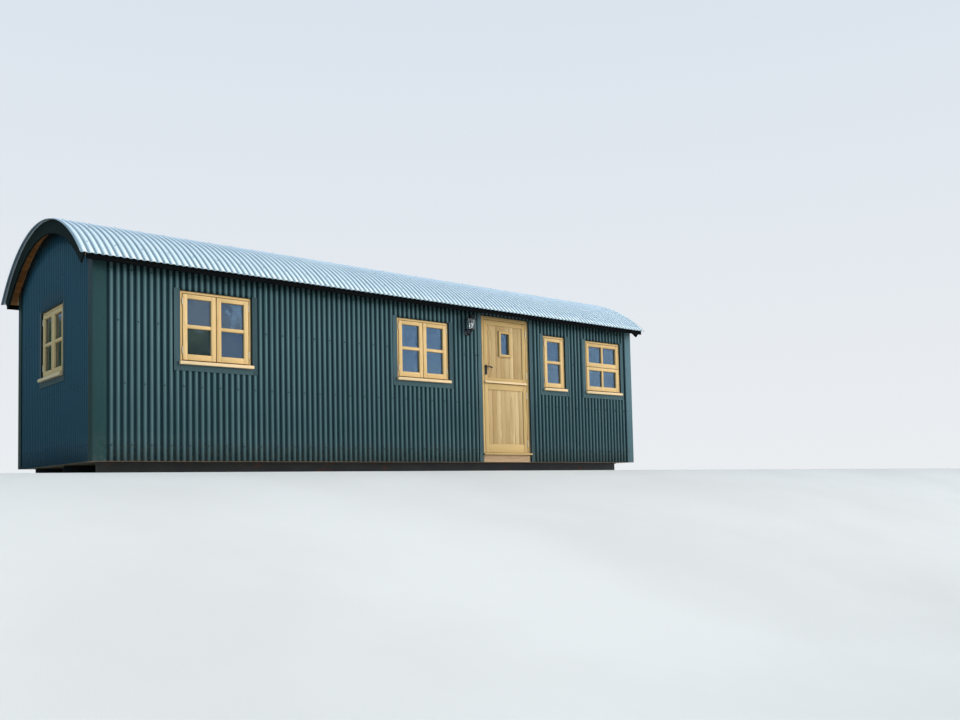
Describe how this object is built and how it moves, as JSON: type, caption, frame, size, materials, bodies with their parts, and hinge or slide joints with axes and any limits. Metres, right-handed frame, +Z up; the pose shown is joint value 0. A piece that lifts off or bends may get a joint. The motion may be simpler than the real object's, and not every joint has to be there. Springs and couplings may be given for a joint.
{
  "type": "shepherd's hut",
  "caption": "Long low hut of corrugated steel on a timber body, with a curved roof, casement windows in oak and a stable door in two leaves.",
  "frame": {"origin": "on the ground under the middle of the hut, at the foot of the middle chassis rail", "axes": "+X along the hut towards the right gable, -Y out of the front wall with the door, +Z up"},
  "size_m": [9.398, 3.506, 3.144],
  "materials": {
    "green_sheet": "dark green paint on corrugated steel, satin, chalked a little",
    "green_flashing": "dark green paint on flat steel, satin",
    "galvanised_sheet": "bright galvanised corrugated steel",
    "green_board": "dark green paint on timber",
    "oak": "oiled honey-coloured oak",
    "soffit_timber": "stained softwood boards",
    "deck_timber": "sawn softwood",
    "wall_panel": "softwood panel, pale lining inside",
    "floor_timber": "boarded floor platform",
    "chassis_steel": "black paint on rolled steel",
    "window_glass": "clear sealed glass",
    "black_iron": "black powder coat",
    "zinc_hinge": "bright zinc-plated steel"
  },
  "bodies": {
    "hut": {"chassis_rails": "chassis_steel", "floor_deck": "floor_timber", "front_wall_left": "wall_panel", "front_wall_right": "wall_panel", "front_wall_over_door": "wall_panel", "rear_wall": "wall_panel", "left_gable_wall": "wall_panel", "right_gable_wall": "wall_panel", "roof_deck": "deck_timber", "roof_sheets": "galvanised_sheet", "eaves_boards": "green_board", "left_bargeboard": "green_board", "right_bargeboard": "green_board", "left_soffit": "soffit_timber", "right_soffit": "soffit_timber", "front_cladding": "green_sheet", "rear_cladding": "green_sheet", "left_gable_cladding": "green_sheet", "right_gable_cladding": "green_sheet", "corner_flashings": "green_flashing", "window_flashings": "green_flashing", "door_flashings": "green_flashing", "front_window_1_frame": "oak", "front_window_2_frame": "oak", "front_window_3_frame": "oak", "front_window_4_frame": "oak", "left_gable_window_frame": "oak", "right_gable_window_frame": "oak", "front_window_1_casements": "oak", "front_window_2_casements": "oak", "front_window_3_casement": "oak", "front_window_4_lights": "oak", "left_gable_casements": "oak", "right_gable_casements": "oak", "window_glass": "window_glass", "window_sills": "oak", "door_frame": "oak", "door_threshold": "oak", "door_frame_hinges": "zinc_hinge", "lantern_bracket": "black_iron", "lantern_body": "black_iron", "lantern_glass": "window_glass"},
    "upper_leaf": {"door_upper_leaf": "oak", "upper_leaf_hinges": "zinc_hinge", "door_glass": "window_glass", "handle_plate": "black_iron"},
    "lower_leaf": {"door_lower_leaf": "oak", "lower_leaf_hinges": "zinc_hinge"},
    "handle": {"door_lever": "black_iron"}
  },
  "joints": [
    {"name": "upper_leaf_hinge", "type": "hinge", "parent": "hut", "child": "upper_leaf", "pos_m": [2.046, -1.547, 1.8], "axis": [0, 0, 1], "range_deg": [0, 100]},
    {"name": "lower_leaf_hinge", "type": "hinge", "parent": "hut", "child": "lower_leaf", "pos_m": [2.046, -1.547, 0.8], "axis": [0, 0, 1], "range_deg": [0, 100]},
    {"name": "handle_turn", "type": "hinge", "parent": "upper_leaf", "child": "handle", "pos_m": [1.224, -1.546, 1.591], "axis": [0, 1, 0], "range_deg": [0, 35], "stiffness_Nm_per_rad": 0.6}
  ]
}
